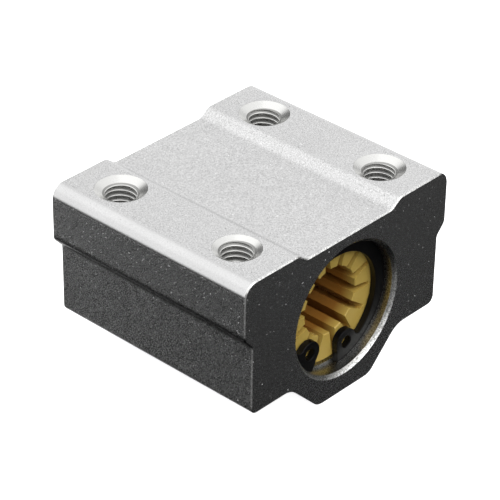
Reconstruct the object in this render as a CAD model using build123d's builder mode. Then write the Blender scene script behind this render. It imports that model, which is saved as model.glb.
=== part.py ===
from build123d import *

import os
from math import cos, radians, sin, tan

# Four-bolt linear bearing block for a 10 mm shaft, with a ribbed polymer liner.
# The housing is a sawn length of aluminium extrusion with its mounting face up.
# The liner lies loose in the bore between two internal retaining rings.
# Millimetres. The origin is on the shaft axis at mid-length, the shaft runs along Y,
# and the mounting face looks up +Z.

# Housing outline, seen along the shaft
block_width = 40.0
block_length = 35.0
block_height = 26.0
axis_drop = 13.0
body_width = 37.0
flange_thickness = 8.2
flange_step_drop = 1.7
shoulder_drop = 20.6
keel_flat_width = 10.4
keel_slope = 45.0
channel_depth = 1.2
channel_mouth_width = 20.0
channel_side_run = 1.6

# Radii that the extrusion die leaves along the length
channel_root_radius = 1.6
channel_lip_radius = 1.6
land_radius = 2.0
flange_lip_radius = 1.2
flange_root_radius = 0.8
body_corner_radius = 1.2
keel_root_radius = 3.6
keel_corner_radius = 2.4
saw_edge_break = 0.15

# Bore through the housing, a groove for a ring near each end, and a wider mouth outside it
bore_diameter = 19.0
mouth_diameter = 19.4
mouth_chamfer = 0.5
ring_groove_depth = 0.5
ring_groove_width = 1.1
ring_groove_inset = 1.85

# Four tapped holes, drilled right through from the mounting face
hole_spacing_x = 28.0
hole_spacing_y = 21.0
thread_diameter = 5.0
thread_depth = 12.0
drill_diameter = 4.3
countersink_angle = 120.0
countersink_diameter = 7.2
shallow_countersink_diameter = 6.6

# Polymer liner
shaft_diameter = 10.0
shaft_clearance = 0.03
liner_clearance = 0.02
liner_end_play = 0.05
liner_end_chamfer = 0.5
liner_lead_in = 0.1
rib_count = 14
rib_phase = 7.0
slot_mouth_width = 1.15
slot_root_width = 0.7
slot_root_wall = 1.6
band_groove_depth = 0.5
band_groove_width = 1.3
band_groove_span = 22.0

# Retaining rings
ring_clearance = 0.05
ring_side_clearance = 0.05
ring_band_width = 2.4
ring_band_taper = 0.7
ring_gap_direction = -101.5
ring_gap_angle = 31.5
lug_spread = 59.5
lug_inset = 2.4
lug_radius = 1.9
lug_eye_diameter = 1.8
lug_blend_radius = 0.8
ring_edge_radius = 0.1

# How near a corner must lie to a circle to count as lying on it
corner_tolerance = 0.01

# Heights and half lengths that several features share
mounting_face_z = axis_drop
rest_face_z = axis_drop - block_height
shoulder_z = axis_drop - shoulder_drop
half_length = block_length / 2
bore_radius = bore_diameter / 2
mouth_radius = mouth_diameter / 2
ring_groove_radius = bore_radius + ring_groove_depth
groove_outer_y = half_length - ring_groove_inset
groove_inner_y = groove_outer_y - ring_groove_width
liner_half_length = groove_inner_y - liner_end_play
liner_radius = bore_radius - liner_clearance
liner_bore_radius = shaft_diameter / 2 + shaft_clearance

os.makedirs("parts", exist_ok=True)

# Housing: half of the outline is drawn and mirrored, then the length is extruded
channel_floor_half = channel_mouth_width / 2 - channel_side_run
flange_edge_z = mounting_face_z - flange_thickness
keel_root_half = keel_flat_width / 2 + (shoulder_z - rest_face_z) / tan(radians(keel_slope))
shallow_corner = (-hole_spacing_x / 2, -hole_spacing_y / 2)
full_corners = [
    (-hole_spacing_x / 2, hole_spacing_y / 2),
    (hole_spacing_x / 2, -hole_spacing_y / 2),
    (hole_spacing_x / 2, hole_spacing_y / 2),
]

with BuildPart() as housing:
    with BuildSketch(Plane.XZ):
        with BuildLine():
            FilletPolyline(
                (0, mounting_face_z - channel_depth),
                (channel_floor_half, mounting_face_z - channel_depth),
                (channel_mouth_width / 2, mounting_face_z),
                (block_width / 2, mounting_face_z),
                (block_width / 2, flange_edge_z),
                (body_width / 2, flange_edge_z - flange_step_drop),
                (body_width / 2, shoulder_z),
                (keel_root_half, shoulder_z),
                (keel_flat_width / 2, rest_face_z),
                (0, rest_face_z),
                radius=[
                    channel_root_radius,
                    channel_lip_radius,
                    land_radius,
                    flange_lip_radius,
                    flange_root_radius,
                    body_corner_radius,
                    keel_root_radius,
                    keel_corner_radius,
                ],
            )
            mirror(about=Plane.YZ)
        make_face()
    extrude(amount=half_length, both=True)

    # The saw leaves a fine broken edge all round each end face
    end_faces = housing.faces().filter_by(Axis.Y)
    chamfer([edge for face in end_faces for edge in face.edges()], saw_edge_break)

    # Bore, its two mouths and the two ring grooves are turned as one section
    with BuildSketch(Plane.XY):
        with BuildLine():
            Polyline(
                (0, 0),
                (bore_radius, 0),
                (bore_radius, groove_inner_y),
                (ring_groove_radius, groove_inner_y),
                (ring_groove_radius, groove_outer_y),
                (mouth_radius, groove_outer_y),
                (mouth_radius, half_length - mouth_chamfer),
                (mouth_radius + mouth_chamfer, half_length),
                (0, half_length),
                close=True,
            )
        make_face()
        mirror(about=Plane.XZ)
    revolve(axis=Axis.Y, mode=Mode.SUBTRACT)

    # Tapped from above, drilled through to the shoulders
    with Locations(Plane.XY.offset(mounting_face_z)):
        with Locations(*full_corners):
            CounterSinkHole(
                radius=thread_diameter / 2,
                counter_sink_radius=countersink_diameter / 2,
                depth=thread_depth,
                counter_sink_angle=countersink_angle,
            )
        with Locations(shallow_corner):
            CounterSinkHole(
                radius=thread_diameter / 2,
                counter_sink_radius=shallow_countersink_diameter / 2,
                depth=thread_depth,
                counter_sink_angle=countersink_angle,
            )
    with Locations(-Plane.XY.offset(shoulder_z)):
        with GridLocations(hole_spacing_x, hole_spacing_y, 2, 2):
            Hole(radius=drill_diameter / 2)
housing.part.label = "housing"
export_step(housing.part, "parts/housing.step")

# Liner: ribs with running pads, and slots that narrow outwards between them
slot_depth = liner_radius - slot_root_wall - liner_bore_radius
slot_pitch = 360 / rib_count

with BuildPart() as polymer_liner:
    with BuildSketch(Plane.XZ):
        Circle(liner_radius)
        Circle(liner_bore_radius, mode=Mode.SUBTRACT)
        with PolarLocations(liner_bore_radius, rib_count, start_angle=rib_phase + slot_pitch / 2):
            Polygon(
                (-slot_mouth_width / 2, -slot_mouth_width / 2),
                (slot_depth, -slot_root_width / 2),
                (slot_depth, slot_root_width / 2),
                (-slot_mouth_width / 2, slot_mouth_width / 2),
                align=None,
                mode=Mode.SUBTRACT,
            )
    extrude(amount=liner_half_length, both=True)

    # Lead-in cone at each mouth of the running bore
    with BuildSketch(Plane.XY):
        with BuildLine():
            Polyline(
                (0, liner_half_length - liner_lead_in),
                (liner_bore_radius, liner_half_length - liner_lead_in),
                (liner_bore_radius + liner_lead_in, liner_half_length),
                (0, liner_half_length),
                close=True,
            )
        make_face()
        mirror(about=Plane.XZ)
    revolve(axis=Axis.Y, mode=Mode.SUBTRACT)

    # Outside: a chamfer at each end and two bands for rings that this housing doesn't use
    outer_rims = polymer_liner.edges().filter_by(
        lambda edge: edge.geom_type == GeomType.CIRCLE and edge.radius > liner_radius - liner_clearance
    )
    chamfer(outer_rims, liner_end_chamfer)
    with BuildSketch(Plane.XY):
        for side in (-1, 1):
            with Locations((liner_radius, side * (band_groove_span - band_groove_width) / 2)):
                Rectangle(2 * band_groove_depth, band_groove_width)
    revolve(axis=Axis.Y, mode=Mode.SUBTRACT)
polymer_liner.part.label = "polymer_liner"
export_step(polymer_liner.part, "parts/polymer_liner.step")

# Retaining rings: an open band with an eyed lug on each side of the gap. The band is widest
# opposite the gap and narrows towards it, so that the ring closes evenly.
ring_thickness = ring_groove_width - 2 * ring_side_clearance
ring_outer_radius = ring_groove_radius - ring_clearance
ring_inner_radius = ring_outer_radius - ring_band_width + ring_band_taper
lug_circle_radius = ring_outer_radius - lug_inset
gap_reach = 2 * ring_outer_radius


def polar_point(radius, angle):
    """Return the point at this radius and angle in degrees, from +X towards +Z."""
    return Vector(radius * cos(radians(angle)), radius * sin(radians(angle)))


lug_angles = [ring_gap_direction + side * lug_spread / 2 for side in (-1, 1)]
lug_centres = [polar_point(lug_circle_radius, angle) for angle in lug_angles]
gap_angles = [ring_gap_direction + side * ring_gap_angle / 2 for side in (-1, 1)]
gap_corners = [polar_point(gap_reach, angle) for angle in gap_angles]


def is_lug_corner(corner):
    """Tell whether a corner of the ring's outline lies where a lug's rim meets the band."""
    rim_distances = [abs((Vector(corner) - centre).length - lug_radius) for centre in lug_centres]
    return min(rim_distances) < corner_tolerance


with BuildPart() as front_retaining_ring:
    with BuildSketch(Plane.XZ.offset(groove_inner_y + ring_side_clearance)) as ring_outline:
        Circle(ring_outer_radius)
        with Locations(polar_point(ring_band_taper, ring_gap_direction)):
            Circle(ring_inner_radius, mode=Mode.SUBTRACT)
        with Locations(*lug_centres):
            Circle(lug_radius)
        fillet(ring_outline.vertices().filter_by(is_lug_corner), lug_blend_radius)
        with Locations(*lug_centres):
            Circle(lug_eye_diameter / 2, mode=Mode.SUBTRACT)
        Polygon((0, 0), *gap_corners, align=None, mode=Mode.SUBTRACT)
    extrude(amount=ring_thickness)
    fillet(front_retaining_ring.faces().filter_by(Axis.Y).edges(), ring_edge_radius)
front_retaining_ring.part.label = "front_retaining_ring"
export_step(front_retaining_ring.part, "parts/front_retaining_ring.step")

with BuildPart() as rear_retaining_ring:
    mirror(front_retaining_ring.part, about=Plane.XZ)
rear_retaining_ring.part.label = "rear_retaining_ring"
export_step(rear_retaining_ring.part, "parts/rear_retaining_ring.step")
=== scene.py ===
"""Looks of a linear bearing block with a polymer bushing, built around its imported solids.

The solids give the housing, the bushing and both retaining rings their shape. This script gives
each its finish, adds the screw threads as pieces of their own, and sets the floor, the light and
the camera. Every length is in metres, except where a name ends in _mm.
"""

from __future__ import annotations

import logging
import math
from dataclasses import dataclass, field
from enum import Enum

import bmesh
import bpy
from mathutils import Matrix, Vector


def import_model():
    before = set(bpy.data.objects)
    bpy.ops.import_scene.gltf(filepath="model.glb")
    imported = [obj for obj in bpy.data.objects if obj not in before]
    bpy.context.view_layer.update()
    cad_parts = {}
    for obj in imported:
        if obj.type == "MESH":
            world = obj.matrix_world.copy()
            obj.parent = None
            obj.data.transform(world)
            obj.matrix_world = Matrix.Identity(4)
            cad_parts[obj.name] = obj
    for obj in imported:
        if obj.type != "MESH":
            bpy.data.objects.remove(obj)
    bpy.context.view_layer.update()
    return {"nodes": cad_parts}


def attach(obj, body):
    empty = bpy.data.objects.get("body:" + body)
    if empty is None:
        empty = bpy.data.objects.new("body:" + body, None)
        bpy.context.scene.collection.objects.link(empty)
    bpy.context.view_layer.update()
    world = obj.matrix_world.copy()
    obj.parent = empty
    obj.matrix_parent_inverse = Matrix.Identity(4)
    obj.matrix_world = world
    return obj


LOGGER = logging.getLogger("bearing_block")
MM = 0.001
BODY = "root"
# The middle of a pattern or of a random number, which run from 0 to 1
MIDDLE = 0.5

Colour = tuple[float, float, float, float]


class Corner(Enum):
    """The mounting face's corners, each with the signs of its x and y."""

    FRONT_LEFT = (-1, -1)
    FRONT_RIGHT = (1, -1)
    BACK_LEFT = (-1, 1)
    BACK_RIGHT = (1, 1)


def linear(hex_colour: str) -> Colour:
    """Turn an sRGB hex colour into Blender's linear colour.

    Args:
        hex_colour: The colour as #RRGGBB.

    Returns:
        Red, green, blue and an alpha of 1.
    """
    shares = [int(hex_colour[i : i + 2], 16) / 255 for i in (1, 3, 5)]
    values = [s / 12.92 if s <= 0.04045 else ((s + 0.055) / 1.055) ** 2.4 for s in shares]
    return (values[0], values[1], values[2], 1.0)


def add_node(
    tree: bpy.types.NodeTree,
    kind: str,
    inputs: dict[str | int, object] | None = None,
    **settings: object,
) -> bpy.types.Node:
    """Add a node to a tree, set it up and link it.

    Args:
        tree: The tree that gets the node.
        kind: The node's type name.
        inputs: Sockets by name or number, each with a value, with the output that feeds it, or with
            the node whose first output in use feeds it.
        settings: The node's own properties.

    Returns:
        The new node.
    """
    node = tree.nodes.new(kind)
    for name, value in settings.items():
        setattr(node, name, value)
    for name, value in (inputs or {}).items():
        if isinstance(value, bpy.types.Node):
            value = next(output for output in value.outputs if output.enabled)
        if isinstance(value, bpy.types.NodeSocket):
            tree.links.new(value, node.inputs[name])
        else:
            node.inputs[name].default_value = value
    return node


def new_material(name: str) -> tuple[bpy.types.Material, bpy.types.NodeTree]:
    """Make an empty node material.

    Args:
        name: The material's name.

    Returns:
        The material and its node tree.
    """
    material = bpy.data.materials.new(name)
    material.use_nodes = True
    material.node_tree.nodes.clear()
    return material, material.node_tree


def dress(piece: bpy.types.Object, material: bpy.types.Material) -> None:
    """Give a piece its material, and log the piece's and the material's names.

    Args:
        piece: The object to dress.
        material: Its material.
    """
    piece.data.materials.clear()
    piece.data.materials.append(material)
    LOGGER.info("%s: %s", piece.name, material.name)


@dataclass(frozen=True)
class HolePattern:
    """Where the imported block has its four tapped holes, and the faces that they run between."""

    x_mm: float = 14.0
    y_mm: float = 10.5
    face_z_mm: float = 13.0
    shoulder_z_mm: float = -7.6


@dataclass(frozen=True)
class Spot:
    """The shaded point in the block's material, in millimetres.

    It holds the point itself, its z, its distances from the middle of the width and of the length,
    and a mask that is 0 on the two end faces.
    """

    tree: bpy.types.NodeTree
    point: bpy.types.Node
    z: bpy.types.NodeSocket
    beside: bpy.types.Node
    along: bpy.types.Node
    before_end: bpy.types.Node


@dataclass(frozen=True)
class Zones:
    """Masks of the block's surfaces, each 1 on its surface and 0 elsewhere.

    bore and hole are the cut surfaces, cut is both of them, and root is the step under the flanges,
    which is darkened as painted shade.
    grained is the share of the grain that is left, and smooth is 1 where no flat grains lie.
    """

    bore: bpy.types.Node
    hole: bpy.types.Node
    cut: bpy.types.Node
    root: bpy.types.Node
    grained: bpy.types.Node
    smooth: bpy.types.Node


@dataclass(frozen=True)
class BlastedAluminium:
    """Aluminium extrusion, blasted with glass beads and clear anodised, then bored and tapped.

    The blasting gives an even grain, with single flat grains that catch the light. The sawn ends
    have less of it, and their edges are rubbed bright. The bore, its chamfers, the ring grooves and
    the tapped holes were cut afterwards, so they are smoother, and the holes show fine feed lines.
    """

    holes: HolePattern = field(default_factory=HolePattern)
    colour: str = "#D3D3D3"
    bore_colour: str = "#B6B6B3"
    hole_colour: str = "#E2E2E0"
    edge_colour: str = "#F6F6F4"
    roughness: float = 0.22
    pit_roughness: float = 0.6
    bore_roughness: float = 0.28
    hole_roughness: float = 0.26
    # Grit marks and flat grains are about 0.1 mm wide, drawn wider so that they show
    grain_mm: float = 0.18
    grain_height_mm: float = 0.035
    grain_tone: float = 0.3
    bore_tone: float = 0.8
    tone_span: tuple[float, float] = (0.25, 0.75)
    pit_mm: float = 0.09
    pit_span: tuple[float, float] = (0.5, 0.72)
    facet_mm: float = 0.22
    facet_share: float = 0.09
    facet_size: float = 0.3
    facet_tilt: float = 2.2
    feed_mm: float = 0.12
    feed_height_mm: float = 0.0015
    cloud_mm: float = 8.0
    cloud_tone: float = 0.03
    fine_detail: float = 2.0
    coarse_detail: float = 3.0
    # Where the cut surfaces, the sawn edges, the rubbed corners and the flanges' steps lie
    bore_zone_mm: float = 10.22
    hole_zone_mm: float = 3.62
    face_margin_mm: float = 0.01
    edge_span_mm: tuple[float, float] = (17.2, 17.36)
    end_y_mm: float = 17.499
    end_rub: float = 0.4
    burr_mm: float = 0.5
    burr_span: tuple[float, float] = (0.4, 0.55)
    corner_span_mm: tuple[float, float] = (18.1, 18.5)
    corner_z_mm: float = 11.1
    corner_rub: float = 0.75
    root_z_mm: float = 4.3
    root_half_mm: float = 1.4
    root_x_mm: float = 18.2
    # How dark the painted shade in the step under each flange is
    root_painted_shade: float = 0.24

    def build(self) -> bpy.types.Material:
        """Make the material.

        Returns:
            The material, which reads Object coordinates and the surface's own normal.
        """
        material, tree = new_material("blasted anodised aluminium")
        spot = self.spot(tree)
        zones = self.zones(spot)
        noise = add_node(
            tree,
            "ShaderNodeTexNoise",
            {"Vector": spot.point, "Scale": 1 / self.grain_mm, "Detail": self.fine_detail},
        )
        grain = add_node(tree, "ShaderNodeMix", {"Factor": zones.grained, 2: MIDDLE, 3: noise})
        shader = add_node(
            tree,
            "ShaderNodeBsdfPrincipled",
            {
                "Base Color": self.tint(spot, zones, grain),
                "Metallic": 1.0,
                "Roughness": self.polish(spot, zones),
                "Normal": self.relief(spot, zones, grain),
            },
        )
        add_node(tree, "ShaderNodeOutputMaterial", {"Surface": shader})
        return material

    def spot(self, tree: bpy.types.NodeTree) -> Spot:
        """Measure the shaded point.

        Args:
            tree: The material's tree.

        Returns:
            The point and what the masks need to know of it.
        """
        place = add_node(tree, "ShaderNodeTexCoord").outputs["Object"]
        point = add_node(
            tree, "ShaderNodeVectorMath", {0: place, "Scale": 1 / MM}, operation="SCALE"
        )
        x, y, z = add_node(tree, "ShaderNodeSeparateXYZ", {0: point}).outputs
        beside, along = (
            add_node(tree, "ShaderNodeMath", {0: value}, operation="ABSOLUTE") for value in (x, y)
        )
        before_end = add_node(
            tree, "ShaderNodeMath", {0: along, 1: self.end_y_mm}, operation="LESS_THAN"
        )
        return Spot(tree, point, z, beside, along, before_end)

    def zones(self, spot: Spot) -> Zones:
        """Find the block's surfaces.

        Args:
            spot: The shaded point.

        Returns:
            The masks of the surfaces.
        """
        tree = spot.tree
        bore, hole, root = self.bored(spot), self.tapped(spot), self.flange_root(spot)
        cut = add_node(tree, "ShaderNodeMath", {0: bore, 1: hole}, operation="MAXIMUM")
        rubbed = self.rubbed_corner(spot)
        kept = add_node(tree, "ShaderNodeMath", {0: 1.0, 1: rubbed}, operation="SUBTRACT")
        unblasted = add_node(tree, "ShaderNodeMath", {0: rubbed, 1: root}, operation="MAXIMUM")
        smooth = add_node(tree, "ShaderNodeMath", {0: cut, 1: unblasted}, operation="MAXIMUM")
        sawn = add_node(
            tree, "ShaderNodeMix", {"Factor": spot.before_end, 2: 1 - self.end_rub, 3: 1.0}
        )
        grained = add_node(tree, "ShaderNodeMath", {0: kept, 1: sawn}, operation="MULTIPLY")
        return Zones(bore, hole, cut, root, grained, smooth)

    def bored(self, spot: Spot) -> bpy.types.Node:
        """Mask the bore, its chamfers and the ring grooves.

        Args:
            spot: The shaded point.

        Returns:
            1 near the shaft's axis and 0 elsewhere.
        """
        across = add_node(
            spot.tree,
            "ShaderNodeVectorMath",
            {0: spot.point, 1: (1.0, 0.0, 1.0)},
            operation="MULTIPLY",
        )
        radius = add_node(spot.tree, "ShaderNodeVectorMath", {0: across}, operation="LENGTH")
        return add_node(
            spot.tree, "ShaderNodeMath", {0: radius, 1: self.bore_zone_mm}, operation="LESS_THAN"
        )

    def tapped(self, spot: Spot) -> bpy.types.Node:
        """Mask the walls and the countersinks of the four holes.

        Args:
            spot: The shaded point.

        Returns:
            1 in a hole, between the mounting face and the shoulders, and 0 elsewhere.
        """
        tree = spot.tree
        off_x, off_y = (
            add_node(tree, "ShaderNodeMath", {0: distance, 1: centre}, operation="SUBTRACT")
            for distance, centre in ((spot.beside, self.holes.x_mm), (spot.along, self.holes.y_mm))
        )
        flat = add_node(tree, "ShaderNodeCombineXYZ", {0: off_x, 1: off_y})
        radius = add_node(tree, "ShaderNodeVectorMath", {0: flat}, operation="LENGTH")
        near, under, over = (
            add_node(tree, "ShaderNodeMath", {0: value, 1: limit}, operation=operation)
            for value, operation, limit in (
                (radius, "LESS_THAN", self.hole_zone_mm),
                (spot.z, "LESS_THAN", self.holes.face_z_mm - self.face_margin_mm),
                (spot.z, "GREATER_THAN", self.holes.shoulder_z_mm + self.face_margin_mm),
            )
        )
        inside = add_node(tree, "ShaderNodeMath", {0: under, 1: over}, operation="MULTIPLY")
        return add_node(tree, "ShaderNodeMath", {0: near, 1: inside}, operation="MULTIPLY")

    def flange_root(self, spot: Spot) -> bpy.types.Node:
        """Mask the step under each flange, which is darkened as painted shade and which the
        blasting reaches least.

        Args:
            spot: The shaded point.

        Returns:
            1 in the step, less towards its borders, and 0 elsewhere.
        """
        tree = spot.tree
        outside = add_node(
            tree, "ShaderNodeMath", {0: spot.beside, 1: self.root_x_mm}, operation="GREATER_THAN"
        )
        flank = add_node(
            tree, "ShaderNodeMath", {0: outside, 1: spot.before_end}, operation="MULTIPLY"
        )
        offset = add_node(
            tree, "ShaderNodeMath", {0: spot.z, 1: self.root_z_mm}, operation="SUBTRACT"
        )
        off = add_node(tree, "ShaderNodeMath", {0: offset}, operation="ABSOLUTE")
        depth = add_node(
            tree,
            "ShaderNodeMapRange",
            {"Value": off, "From Min": self.root_half_mm, "From Max": self.root_half_mm / 2},
        )
        return add_node(tree, "ShaderNodeMath", {0: depth, 1: flank}, operation="MULTIPLY")

    def rubbed_corner(self, spot: Spot) -> bpy.types.Node:
        """Mask the rounded upper corners along the length, where handling has rubbed the grain.

        Args:
            spot: The shaded point.

        Returns:
            The share of the grain that is gone.
        """
        tree = spot.tree
        outward = add_node(
            tree,
            "ShaderNodeMapRange",
            {
                "Value": spot.beside,
                "From Min": self.corner_span_mm[0],
                "From Max": self.corner_span_mm[1],
                "To Max": self.corner_rub,
            },
        )
        upper = add_node(
            tree, "ShaderNodeMath", {0: spot.z, 1: self.corner_z_mm}, operation="GREATER_THAN"
        )
        corner = add_node(tree, "ShaderNodeMath", {0: outward, 1: upper}, operation="MULTIPLY")
        return add_node(
            tree, "ShaderNodeMath", {0: corner, 1: spot.before_end}, operation="MULTIPLY"
        )

    def worn_edge(self, spot: Spot) -> bpy.types.Node:
        """Mask the edges round both sawn ends, without the end faces.

        Args:
            spot: The shaded point.

        Returns:
            1 on the edges, with ragged gaps, and 0 elsewhere.
        """
        tree = spot.tree
        burrs = add_node(
            tree,
            "ShaderNodeTexNoise",
            {"Vector": spot.point, "Scale": 1 / self.burr_mm, "Detail": self.coarse_detail},
        )
        near, ragged = (
            add_node(
                tree,
                "ShaderNodeMapRange",
                {"Value": value, "From Min": span[0], "From Max": span[1]},
            )
            for value, span in ((spot.along, self.edge_span_mm), (burrs, self.burr_span))
        )
        band = add_node(tree, "ShaderNodeMath", {0: near, 1: spot.before_end}, operation="MULTIPLY")
        return add_node(tree, "ShaderNodeMath", {0: band, 1: ragged}, operation="MULTIPLY")

    def tint(self, spot: Spot, zones: Zones, grain: bpy.types.Node) -> bpy.types.Node:
        """Colour the surfaces, each with its own tone of grain, and darken the step under the
        flanges as painted shade.

        Args:
            spot: The shaded point.
            zones: The masks of the surfaces.
            grain: The grain's height, from 0 to 1.

        Returns:
            The base colour.
        """
        tree = spot.tree
        metal: bpy.types.Node | Colour = linear(self.colour)
        for mask, colour in (
            (zones.bore, self.bore_colour),
            (zones.hole, self.hole_colour),
            (self.worn_edge(spot), self.edge_colour),
        ):
            metal = add_node(
                tree,
                "ShaderNodeMix",
                {"Factor": mask, 6: metal, 7: linear(colour)},
                data_type="RGBA",
            )
        clouds = add_node(
            tree,
            "ShaderNodeTexNoise",
            {"Vector": spot.point, "Scale": 1 / self.cloud_mm, "Detail": self.coarse_detail},
        )
        grain_tone, bore_tone, cloud_tone = (
            add_node(
                tree,
                "ShaderNodeMapRange",
                {
                    "Value": pattern,
                    "From Min": self.tone_span[0],
                    "From Max": self.tone_span[1],
                    "To Min": 1 - share,
                    "To Max": 1 + share,
                },
            )
            for pattern, share in (
                (grain, self.grain_tone),
                (grain, self.bore_tone),
                (clouds, self.cloud_tone),
            )
        )
        shade = add_node(tree, "ShaderNodeMix", {"Factor": zones.bore, 2: grain_tone, 3: bore_tone})
        # Painted shade: the step under each flange is darkened
        root_painted_shade = add_node(
            tree, "ShaderNodeMix", {"Factor": zones.root, 2: 1.0, 3: self.root_painted_shade}
        )
        for tone in (cloud_tone, root_painted_shade):
            shade = add_node(tree, "ShaderNodeMath", {0: shade, 1: tone}, operation="MULTIPLY")
        tone = add_node(tree, "ShaderNodeMix", {"Factor": zones.hole, 2: shade, 3: 1.0})
        return add_node(tree, "ShaderNodeVectorMath", {0: metal, "Scale": tone}, operation="SCALE")

    def polish(self, spot: Spot, zones: Zones) -> bpy.types.Node:
        """Make the blasted surfaces rougher in their pits, and the cut ones evenly smooth.

        Args:
            spot: The shaded point.
            zones: The masks of the surfaces.

        Returns:
            The roughness.
        """
        tree = spot.tree
        noise = add_node(
            tree,
            "ShaderNodeTexNoise",
            {"Vector": spot.point, "Scale": 1 / self.pit_mm, "Detail": self.fine_detail},
        )
        pits = add_node(
            tree,
            "ShaderNodeMapRange",
            {
                "Value": noise,
                "From Min": self.pit_span[0],
                "From Max": self.pit_span[1],
                "To Min": self.roughness,
                "To Max": self.pit_roughness,
            },
        )
        reached = add_node(tree, "ShaderNodeMath", {0: 1.0, 1: zones.root}, operation="SUBTRACT")
        pitted = add_node(
            tree, "ShaderNodeMath", {0: zones.grained, 1: reached}, operation="MULTIPLY"
        )
        blasted = add_node(tree, "ShaderNodeMix", {"Factor": pitted, 2: self.roughness, 3: pits})
        bright = add_node(
            tree,
            "ShaderNodeMix",
            {"Factor": zones.hole, 2: self.bore_roughness, 3: self.hole_roughness},
        )
        return add_node(tree, "ShaderNodeMix", {"Factor": zones.cut, 2: blasted, 3: bright})

    def relief(self, spot: Spot, zones: Zones, grain: bpy.types.Node) -> bpy.types.Node:
        """Raise the grain on the blasted surfaces and the feed lines in the holes.

        Args:
            spot: The shaded point.
            zones: The masks of the surfaces.
            grain: The grain's height, from 0 to 1.

        Returns:
            The surface's normal.
        """
        tree = spot.tree
        phase = add_node(
            tree, "ShaderNodeMath", {0: spot.z, 1: math.tau / self.feed_mm}, operation="MULTIPLY"
        )
        feed = add_node(tree, "ShaderNodeMath", {0: phase}, operation="SINE")
        grain_height, feed_height = (
            add_node(tree, "ShaderNodeMath", {0: pattern, 1: height}, operation="MULTIPLY")
            for pattern, height in ((grain, self.grain_height_mm), (feed, self.feed_height_mm))
        )
        height = add_node(
            tree, "ShaderNodeMix", {"Factor": zones.hole, 2: grain_height, 3: feed_height}
        )
        return add_node(
            tree,
            "ShaderNodeBump",
            {
                "Height": height,
                "Strength": 1.0,
                "Distance": MM,
                "Normal": self.facets(spot, zones.smooth),
            },
        )

    def facets(self, spot: Spot, smooth: bpy.types.Node) -> bpy.types.Node:
        """Tilt the surface at single flat grains, each its own way.

        Args:
            spot: The shaded point.
            smooth: A mask of the surfaces that have no flat grains.

        Returns:
            The surface's normal with the flat grains in it.
        """
        tree = spot.tree
        cell = add_node(
            tree, "ShaderNodeTexVoronoi", {"Vector": spot.point, "Scale": 1 / self.facet_mm}
        )
        numbers = add_node(tree, "ShaderNodeSeparateColor", {0: cell.outputs["Color"]}).outputs
        chosen, close = (
            add_node(tree, "ShaderNodeMath", {0: value, 1: limit}, operation="LESS_THAN")
            for value, limit in (
                (numbers[0], self.facet_share),
                (cell.outputs["Distance"], self.facet_size),
            )
        )
        share = add_node(tree, "ShaderNodeMath", {0: 1.0, 1: smooth}, operation="SUBTRACT")
        for factor in (chosen, close, self.facet_tilt):
            share = add_node(tree, "ShaderNodeMath", {0: share, 1: factor}, operation="MULTIPLY")
        tilt_level, tilt_up = (
            add_node(tree, "ShaderNodeMath", {0: number, 1: MIDDLE}, operation="SUBTRACT")
            for number in (numbers[1], numbers[2])
        )
        tilt = add_node(tree, "ShaderNodeCombineXYZ", {0: tilt_level, 1: tilt_level, 2: tilt_up})
        offset = add_node(
            tree, "ShaderNodeVectorMath", {0: tilt, "Scale": share}, operation="SCALE"
        )
        own = add_node(tree, "ShaderNodeNewGeometry").outputs["Normal"]
        tilted = add_node(tree, "ShaderNodeVectorMath", {0: own, 1: offset}, operation="ADD")
        return add_node(tree, "ShaderNodeVectorMath", {0: tilted}, operation="NORMALIZE")


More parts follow.
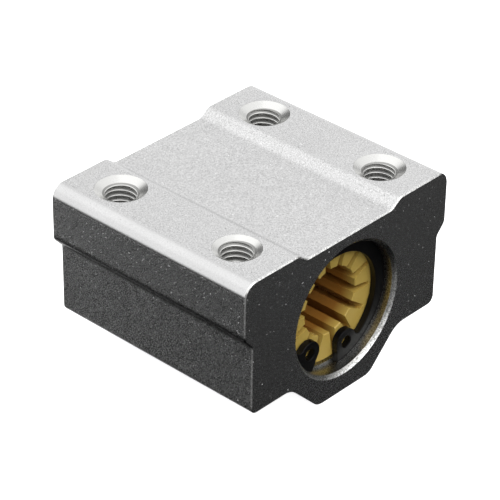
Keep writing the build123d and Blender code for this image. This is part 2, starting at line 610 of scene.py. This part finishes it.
@dataclass(frozen=True)
class CutThread:
    """Freshly tapped aluminium: darker flanks, a lighter crest flat, and a painted highlight along
    each edge of the crest.
    """

    holes: HolePattern = field(default_factory=HolePattern)
    flank_colour: str = "#A0A09E"
    crest_highlight_colour: str = "#F6F6F4"
    flat_colour: str = "#BEBEBC"
    roughness: float = 0.46
    # The painted highlight starts at crest_from_mm from the axis and is full from crest_to_mm
    # inwards, outside the crest flat
    flat_mm: float = 2.156
    crest_to_mm: float = 2.19
    crest_from_mm: float = 2.25
    # The marks of torn chips, drawn wider than they are so that they show
    grain_mm: float = 0.25
    grain_height_mm: float = 0.006
    grain_detail: float = 2.0

    def build(self) -> bpy.types.Material:
        """Make the material.

        Returns:
            The material, which reads Object coordinates only.
        """
        material, tree = new_material("tapped aluminium")
        place = add_node(tree, "ShaderNodeTexCoord").outputs["Object"]
        radius = self.radius(tree, place)
        # Painted highlight: a bright band along each edge of the crest
        crest_highlight = add_node(
            tree,
            "ShaderNodeMapRange",
            {
                "Value": radius,
                "From Min": self.crest_from_mm * MM,
                "From Max": self.crest_to_mm * MM,
            },
        )
        on_flat = add_node(
            tree, "ShaderNodeMath", {0: radius, 1: self.flat_mm * MM}, operation="LESS_THAN"
        )
        metal: bpy.types.Node | Colour = linear(self.flank_colour)
        for mask, colour in ((crest_highlight, self.crest_highlight_colour), (on_flat, self.flat_colour)):
            metal = add_node(
                tree,
                "ShaderNodeMix",
                {"Factor": mask, 6: metal, 7: linear(colour)},
                data_type="RGBA",
            )
        grain = add_node(
            tree,
            "ShaderNodeTexNoise",
            {"Vector": place, "Scale": 1 / (self.grain_mm * MM), "Detail": self.grain_detail},
        )
        bump = add_node(
            tree,
            "ShaderNodeBump",
            {"Height": grain, "Strength": 1.0, "Distance": self.grain_height_mm * MM},
        )
        shader = add_node(
            tree,
            "ShaderNodeBsdfPrincipled",
            {"Base Color": metal, "Metallic": 1.0, "Roughness": self.roughness, "Normal": bump},
        )
        add_node(tree, "ShaderNodeOutputMaterial", {"Surface": shader})
        return material

    def radius(self, tree: bpy.types.NodeTree, place: bpy.types.NodeSocket) -> bpy.types.Node:
        """Measure how far a point lies from its hole's axis.

        Args:
            tree: The material's tree.
            place: The point, in Object coordinates.

        Returns:
            The distance in metres.
        """
        folded = add_node(tree, "ShaderNodeVectorMath", {0: place}, operation="ABSOLUTE")
        axis = (self.holes.x_mm * MM, self.holes.y_mm * MM, 0.0)
        off = add_node(tree, "ShaderNodeVectorMath", {0: folded, 1: axis}, operation="SUBTRACT")
        flat = add_node(
            tree, "ShaderNodeVectorMath", {0: off, 1: (1.0, 1.0, 0.0)}, operation="MULTIPLY"
        )
        return add_node(tree, "ShaderNodeVectorMath", {0: flat}, operation="LENGTH")


@dataclass(frozen=True)
class MouldedPolymer:
    """Injection-moulded bearing polymer: satin, warm yellow, with faint flow clouds.

    Painted shade turns the colour deeper and browner from the ends into the running bore.
    """

    colour: str = "#D2B55E"
    cloud_colour: str = "#C8AA52"
    # The bore colour is painted shade, blended in between the two depths below
    bore_colour: str = "#9C6A2A"
    shade_start_mm: float = 14.35
    shade_full_mm: float = 12.2
    roughness: float = 0.42
    cloud_mm: float = 3.0
    cloud_detail: float = 3.0
    skin_mm: float = 0.25
    skin_detail: float = 2.0
    skin_height_mm: float = 0.004
    scatter_weight: float = 0.04
    scatter_mm: float = 0.4
    scatter_reach: tuple[float, float, float] = (1.0, 0.7, 0.3)

    def build(self) -> bpy.types.Material:
        """Make the material.

        Returns:
            The material, which reads Object coordinates only.
        """
        material, tree = new_material("moulded bearing polymer")
        place = add_node(tree, "ShaderNodeTexCoord").outputs["Object"]
        clouds, skin = (
            add_node(
                tree,
                "ShaderNodeTexNoise",
                {"Vector": place, "Scale": 1 / (size * MM), "Detail": detail},
            )
            for size, detail in (
                (self.cloud_mm, self.cloud_detail),
                (self.skin_mm, self.skin_detail),
            )
        )
        along = add_node(tree, "ShaderNodeSeparateXYZ", {0: place}).outputs[1]
        from_middle = add_node(tree, "ShaderNodeMath", {0: along}, operation="ABSOLUTE")
        # Painted shade: the colour darkens towards the bore colour deeper in the bore
        inside = add_node(
            tree,
            "ShaderNodeMapRange",
            {
                "Value": from_middle,
                "From Min": self.shade_start_mm * MM,
                "From Max": self.shade_full_mm * MM,
            },
        )
        tone: bpy.types.Node | Colour = linear(self.colour)
        for mask, colour in ((clouds, self.cloud_colour), (inside, self.bore_colour)):
            tone = add_node(
                tree,
                "ShaderNodeMix",
                {"Factor": mask, 6: tone, 7: linear(colour)},
                data_type="RGBA",
            )
        bump = add_node(
            tree,
            "ShaderNodeBump",
            {"Height": skin, "Strength": 1.0, "Distance": self.skin_height_mm * MM},
        )
        shader = add_node(
            tree,
            "ShaderNodeBsdfPrincipled",
            {
                "Base Color": tone,
                "Roughness": self.roughness,
                "Subsurface Weight": self.scatter_weight,
                "Subsurface Radius": self.scatter_reach,
                "Subsurface Scale": self.scatter_mm * MM,
                "Normal": bump,
            },
        )
        add_node(tree, "ShaderNodeOutputMaterial", {"Surface": shader})
        return material


@dataclass(frozen=True)
class BlackenedSpringSteel:
    """Stamped spring steel with a black oxide skin under oil, which leaves a low grey sheen."""

    colour: str = "#0A0A0B"
    metallic: float = 0.1
    sheen: float = 0.25
    roughness: float = 0.36
    roughness_swing: float = 0.08
    skin_mm: float = 0.3
    skin_detail: float = 3.0
    skin_height_mm: float = 0.006

    def build(self) -> bpy.types.Material:
        """Make the material.

        Returns:
            The material, which reads Object coordinates only.
        """
        material, tree = new_material("blackened spring steel")
        place = add_node(tree, "ShaderNodeTexCoord").outputs["Object"]
        skin = add_node(
            tree,
            "ShaderNodeTexNoise",
            {"Vector": place, "Scale": 1 / (self.skin_mm * MM), "Detail": self.skin_detail},
        )
        bump = add_node(
            tree,
            "ShaderNodeBump",
            {"Height": skin, "Strength": 1.0, "Distance": self.skin_height_mm * MM},
        )
        roughness = add_node(
            tree,
            "ShaderNodeMapRange",
            {
                "Value": skin,
                "To Min": self.roughness - self.roughness_swing,
                "To Max": self.roughness + self.roughness_swing,
            },
        )
        shader = add_node(
            tree,
            "ShaderNodeBsdfPrincipled",
            {
                "Base Color": linear(self.colour),
                "Metallic": self.metallic,
                "Specular IOR Level": self.sheen,
                "Roughness": roughness,
                "Normal": bump,
            },
        )
        add_node(tree, "ShaderNodeOutputMaterial", {"Surface": shader})
        return material


@dataclass
class Housing:
    """The extruded block."""

    nodes: dict[str, bpy.types.Object]
    node: str = "housing"
    slot: str = "housing_aluminium"
    finish: BlastedAluminium = field(default_factory=BlastedAluminium)

    def build(self) -> None:
        """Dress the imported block."""
        dress(self.nodes[self.node], self.finish.build())


@dataclass
class Threads:
    """The M5 threads of the four mounting holes, each a helical ridge on its hole's wall."""

    holes: HolePattern = field(default_factory=HolePattern)
    depth_mm: float = 12.0
    wall_radius_mm: float = 2.5
    seat_mm: float = 0.03
    crest_radius_mm: float = 2.15
    pitch_mm: float = 0.8
    foot_width_mm: float = 0.72
    crest_width_mm: float = 0.2
    steps: int = 48
    weld_mm: float = 0.0001
    countersink_mm: float = 3.6
    shallow_countersink_mm: float = 3.3
    countersink_slope_deg: float = 30.0
    cutter_height_mm: float = 4.0
    cutter_sides: int = 192
    smooth_deg: float = 25.0
    starts_deg: dict[Corner, float] = field(
        default_factory=lambda: {
            Corner.FRONT_LEFT: 0.0,
            Corner.FRONT_RIGHT: 140.0,
            Corner.BACK_LEFT: 250.0,
            Corner.BACK_RIGHT: 75.0,
        }
    )
    slot: str = "housing_aluminium"
    finish: CutThread = field(default_factory=CutThread)

    def build(self) -> None:
        """Model a thread for each hole and dress it."""
        material = self.finish.build()
        for corner in Corner:
            shallow = corner is Corner.FRONT_LEFT
            rim = self.shallow_countersink_mm if shallow else self.countersink_mm
            piece = self.ridge(f"thread_{corner.name.lower()}")
            self.trim(piece, rim)
            self.place(piece, corner)
            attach(piece, BODY)
            dress(piece, material)

    def ridge(self, name: str) -> bpy.types.Object:
        """Turn a ridge's section into a helix about the Z axis.

        Args:
            name: The piece's name.

        Returns:
            The closed ridge, from the thread's lower end to above the mounting face.
        """
        base = self.wall_radius_mm + self.seat_mm
        bpy.ops.object.select_all(action="DESELECT")
        bpy.ops.mesh.primitive_plane_add(
            size=1.0,
            location=((base + self.crest_radius_mm) / 2 * MM, 0, 0),
            rotation=(math.radians(90), 0, 0),
        )
        piece = bpy.context.object
        piece.name = name
        piece.scale = ((base - self.crest_radius_mm) * MM, self.foot_width_mm * MM, 1)
        piece.location.z = (self.holes.face_z_mm - self.depth_mm + self.foot_width_mm / 2) * MM
        bpy.ops.object.transform_apply(location=True, rotation=True, scale=True)
        self.narrow_crest(piece)
        screw = piece.modifiers.new("helix", "SCREW")
        screw.axis = "Z"
        screw.angle = math.tau
        screw.steps = screw.render_steps = self.steps
        screw.screw_offset = self.pitch_mm * MM
        screw.iterations = math.ceil(self.depth_mm / self.pitch_mm)
        bpy.ops.object.modifier_apply(modifier=screw.name)
        bpy.ops.object.mode_set(mode="EDIT")
        bpy.ops.mesh.select_all(action="SELECT")
        bpy.ops.mesh.remove_doubles(threshold=self.weld_mm * MM)
        bpy.ops.mesh.fill_holes(sides=0)
        bpy.ops.mesh.normals_make_consistent(inside=False)
        bpy.ops.object.mode_set(mode="OBJECT")
        return piece

    def narrow_crest(self, piece: bpy.types.Object) -> None:
        """Draw in the crest side of the section and leave only its outline.

        Args:
            piece: The ridge's section, still flat.
        """
        middle = (self.wall_radius_mm + self.crest_radius_mm) / 2 * MM
        bpy.ops.object.mode_set(mode="EDIT")
        bpy.ops.mesh.select_all(action="DESELECT")
        shape = bmesh.from_edit_mesh(piece.data)
        for vertex in shape.verts:
            vertex.select = vertex.co.x < middle
        shape.select_flush_mode()
        bmesh.update_edit_mesh(piece.data)
        bpy.ops.transform.resize(value=(1, 1, self.crest_width_mm / self.foot_width_mm))
        bpy.ops.mesh.select_all(action="SELECT")
        bpy.ops.mesh.delete(type="ONLY_FACE")
        bpy.ops.object.mode_set(mode="OBJECT")

    def trim(self, piece: bpy.types.Object, rim_mm: float) -> None:
        """Cut the ridge's upper end with the countersink's cone.

        Args:
            piece: The ridge, still on the Z axis.
            rim_mm: The countersink's radius at the mounting face.
        """
        slope = math.tan(math.radians(self.countersink_slope_deg))
        depth = rim_mm * slope + self.cutter_height_mm
        bpy.ops.object.select_all(action="DESELECT")
        bpy.ops.mesh.primitive_cone_add(
            vertices=self.cutter_sides,
            radius1=0,
            radius2=depth / slope * MM,
            depth=depth * MM,
            location=(0, 0, (self.holes.face_z_mm - rim_mm * slope + depth / 2) * MM),
        )
        cutter = bpy.context.object
        bpy.ops.object.select_all(action="DESELECT")
        bpy.context.view_layer.objects.active = piece
        piece.select_set(True)
        cut = piece.modifiers.new("countersink", "BOOLEAN")
        cut.operation = "DIFFERENCE"
        cut.solver = "EXACT"
        cut.object = cutter
        bpy.ops.object.modifier_apply(modifier=cut.name)
        bpy.data.objects.remove(cutter)
        bpy.ops.object.shade_smooth_by_angle(angle=math.radians(self.smooth_deg))

    def place(self, piece: bpy.types.Object, corner: Corner) -> None:
        """Turn the thread to its start and move it into its hole.

        Args:
            piece: The trimmed ridge, still on the Z axis.
            corner: The corner of the mounting face that its hole is in.
        """
        sign_x, sign_y = corner.value
        turn = Matrix.Rotation(math.radians(self.starts_deg[corner]), 4, "Z")
        centre = Vector((sign_x * self.holes.x_mm, sign_y * self.holes.y_mm, 0)) * MM
        piece.data.transform(Matrix.Translation(centre) @ turn)


@dataclass
class Bushing:
    """The polymer liner that runs on the shaft."""

    nodes: dict[str, bpy.types.Object]
    node: str = "polymer_liner"
    slot: str = "liner_polymer"
    finish: MouldedPolymer = field(default_factory=MouldedPolymer)

    def build(self) -> None:
        """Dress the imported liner."""
        dress(self.nodes[self.node], self.finish.build())


@dataclass
class RetainingRings:
    """The two rings that keep the bushing in its bore."""

    nodes: dict[str, bpy.types.Object]
    names: tuple[str, str] = ("front_retaining_ring", "rear_retaining_ring")
    slot: str = "ring_steel"
    finish: BlackenedSpringSteel = field(default_factory=BlackenedSpringSteel)

    def build(self) -> None:
        """Dress both packed rings."""
        material = self.finish.build()
        for name in self.names:
            dress(self.nodes[name], material)


@dataclass
class Studio:
    """A pale floor under a wide soft light, seen through a long lens from the photograph's side."""

    floor_z_mm: float = -13.0
    floor_width: float = 4.0
    floor_colour: str = "#FAFAFA"
    floor_roughness: float = 0.9
    floor_sheen: float = 0.1
    floor_lift: float = 0.8
    backdrop_colour: str = "#FFFFFF"
    # Directions that the light changes along
    picture_right: tuple[float, float, float] = (0.673, -0.74, 0.0)
    picture_front: tuple[float, float, float] = (-0.35, -0.937, 0.0)
    above_horizon: tuple[float, float, float] = (-0.202, 0.222, 1.0)
    lamp_side: tuple[float, float, float] = (-0.337, 0.37, 1.0)
    # Strengths of the light from each side
    overhead: float = 1.32
    wall_far_left: float = 1.18
    wall_left: float = 0.15
    wall_right: float = 1.05
    wall_far_right: float = 0.8
    front_fill: float = 2.0
    ground_left: float = 0.043
    ground_away: float = 1.0
    ground_front: float = 0.2
    ground_right: float = 0.058
    ground_below: float = 0.03
    # Where each change in the light starts and ends, along its direction or in height
    wall_span: tuple[float, float] = (-0.35, -0.05)
    far_right_span: tuple[float, float] = (0.2, 0.6)
    wall_height: tuple[float, float] = (0.42, 0.6)
    far_left_span: tuple[float, float] = (-0.6, -0.8)
    fill_span: tuple[float, float] = (0.2, 0.5)
    fill_height: tuple[float, float] = (0.5, 0.7)
    lamp_span: tuple[float, float] = (0.9, 0.99)
    ground_span: tuple[float, float] = (-0.6, 0.6)
    ground_height: tuple[float, float] = (-0.7, -0.5)
    away_span: tuple[float, float] = (-0.5, -0.7)
    ahead_span: tuple[float, float] = (0.6, 0.85)
    horizon_span: tuple[float, float] = (0.0, 0.2)
    # The camera, as fitted to the photograph with its lens centred
    azimuth_deg: float = -47.719
    elevation_deg: float = 32.685
    roll_deg: float = 0.974
    distance_mm: float = 341.6
    aim_right_mm: float = 0.005
    aim_up_mm: float = 1.319
    lens_mm: float = 181.04
    sensor_mm: float = 36.0
    clip_share: float = 0.1

    def build(self) -> None:
        """Make the floor, the light and the camera."""
        self.floor()
        self.sky()
        self.camera()
        bpy.context.scene.view_settings.view_transform = "Standard"

    def floor(self) -> None:
        """Lay the floor, which carries the block but is kept out of its reflections."""
        bpy.ops.object.select_all(action="DESELECT")
        bpy.ops.mesh.primitive_plane_add(
            size=self.floor_width, location=(0, 0, self.floor_z_mm * MM)
        )
        floor = bpy.context.object
        floor.name = "floor"
        floor.visible_glossy = False
        floor.visible_diffuse = False
        material, tree = new_material("pale floor")
        shader = add_node(
            tree,
            "ShaderNodeBsdfPrincipled",
            {
                "Base Color": linear(self.floor_colour),
                "Roughness": self.floor_roughness,
                "Specular IOR Level": self.floor_sheen,
                "Emission Color": linear(self.backdrop_colour),
                "Emission Strength": self.floor_lift,
            },
        )
        add_node(tree, "ShaderNodeOutputMaterial", {"Surface": shader})
        floor.data.materials.append(material)

    def sky(self) -> None:
        """Light the scene by a wide dome that is bright overhead and dark under the horizon."""
        world = bpy.data.worlds.new("studio dome")
        world.use_nodes = True
        tree = world.node_tree
        tree.nodes.clear()
        changes = self.changes(tree)
        ground, dome = self.ground(tree, changes), self.dome(tree, changes)
        light = add_node(tree, "ShaderNodeMix", {"Factor": changes["horizon"], 2: ground, 3: dome})
        seen = add_node(tree, "ShaderNodeLightPath").outputs["Is Camera Ray"]
        strength = add_node(tree, "ShaderNodeMix", {"Factor": seen, 2: light, 3: 1.0})
        background = add_node(
            tree,
            "ShaderNodeBackground",
            {"Color": linear(self.backdrop_colour), "Strength": strength},
        )
        add_node(tree, "ShaderNodeOutputWorld", {"Surface": background})
        bpy.context.scene.world = world

    def changes(self, tree: bpy.types.NodeTree) -> dict[str, bpy.types.Node]:
        """Make each smooth change in the light, from one level to another.

        Args:
            tree: The world's tree.

        Returns:
            The changes by name.
        """
        direction = add_node(tree, "ShaderNodeTexCoord").outputs["Generated"]
        height = add_node(tree, "ShaderNodeSeparateXYZ", {0: direction}).outputs[2]
        rightward, frontward, level, lampward = (
            add_node(tree, "ShaderNodeVectorMath", {0: direction, 1: axis}, operation="DOT_PRODUCT")
            for axis in (self.picture_right, self.picture_front, self.above_horizon, self.lamp_side)
        )
        share = (0.0, 1.0)
        plan = {
            "wall": (rightward, self.wall_span, (self.wall_left, self.wall_right)),
            "far_right": (rightward, self.far_right_span, share),
            "over_wall": (height, self.wall_height, share),
            "far_left": (rightward, self.far_left_span, share),
            "fill": (frontward, self.fill_span, (0.0, self.front_fill)),
            "raised": (height, self.fill_height, share),
            "lamp": (lampward, self.lamp_span, share),
            "ground": (rightward, self.ground_span, (self.ground_left, self.ground_right)),
            "depth": (height, self.ground_height, (self.ground_below, 1.0)),
            "away": (frontward, self.away_span, (0.0, self.ground_away)),
            "ahead": (frontward, self.ahead_span, (0.0, self.ground_front)),
            "horizon": (level, self.horizon_span, share),
        }
        return {
            name: add_node(
                tree,
                "ShaderNodeMapRange",
                {
                    "Value": value,
                    "From Min": span[0],
                    "From Max": span[1],
                    "To Min": levels[0],
                    "To Max": levels[1],
                },
                interpolation_type="SMOOTHSTEP",
            )
            for name, (value, span, levels) in plan.items()
        }

    def dome(self, tree: bpy.types.NodeTree, changes: dict[str, bpy.types.Node]) -> bpy.types.Node:
        """Set the light above the horizon: walls on each side, a fill in front, a lamp overhead.

        Args:
            tree: The world's tree.
            changes: The changes in the light.

        Returns:
            The light's strength above the horizon.
        """
        light = changes["wall"]
        for name, strength in (
            ("far_right", self.wall_far_right),
            ("over_wall", self.wall_right),
            ("far_left", self.wall_far_left),
        ):
            light = add_node(
                tree, "ShaderNodeMix", {"Factor": changes[name], 2: light, 3: strength}
            )
        light = add_node(
            tree,
            "ShaderNodeMath",
            {0: changes["fill"], 1: changes["raised"], 2: light},
            operation="MULTIPLY_ADD",
        )
        return add_node(
            tree, "ShaderNodeMix", {"Factor": changes["lamp"], 2: light, 3: self.overhead}
        )

    def ground(
        self, tree: bpy.types.NodeTree, changes: dict[str, bpy.types.Node]
    ) -> bpy.types.Node:
        """Set the light under the horizon: low at the sides and higher behind and in front.

        Args:
            tree: The world's tree.
            changes: The changes in the light.

        Returns:
            The light's strength under the horizon.
        """
        ends = add_node(
            tree, "ShaderNodeMath", {0: changes["away"], 1: changes["ahead"]}, operation="ADD"
        )
        return add_node(
            tree,
            "ShaderNodeMath",
            {0: changes["ground"], 1: changes["depth"], 2: ends},
            operation="MULTIPLY_ADD",
        )

    def camera(self) -> None:
        """Set the camera at the photograph's angle and distance."""
        azimuth, elevation, roll = (
            math.radians(angle)
            for angle in (self.azimuth_deg, self.elevation_deg, self.roll_deg)
        )
        back = Vector(
            (
                math.sin(azimuth) * math.cos(elevation),
                -math.cos(azimuth) * math.cos(elevation),
                math.sin(elevation),
            )
        )
        level_right = Vector((0, 0, 1)).cross(back).normalized()
        level_up = back.cross(level_right)
        right = math.cos(roll) * level_right + math.sin(roll) * level_up
        up = back.cross(right)
        lens = bpy.data.cameras.new("camera")
        lens.lens = self.lens_mm
        lens.sensor_width = self.sensor_mm
        lens.clip_start = self.distance_mm * self.clip_share * MM
        camera = bpy.data.objects.new("camera", lens)
        bpy.context.scene.collection.objects.link(camera)
        turn = Matrix((right, up, back)).transposed().to_4x4()
        place = right * self.aim_right_mm + up * self.aim_up_mm + back * self.distance_mm
        camera.matrix_world = Matrix.Translation(place * MM) @ turn
        bpy.context.scene.camera = camera


def main() -> None:
    """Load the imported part, dress it, and set the studio round it."""
    logging.basicConfig(level=logging.INFO, format="%(name)s: %(message)s")
    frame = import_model()
    nodes = frame["nodes"]
    for assembly in (Housing(nodes), Threads(), Bushing(nodes), RetainingRings(nodes), Studio()):
        assembly.build()


if __name__ == "__main__":
    main()
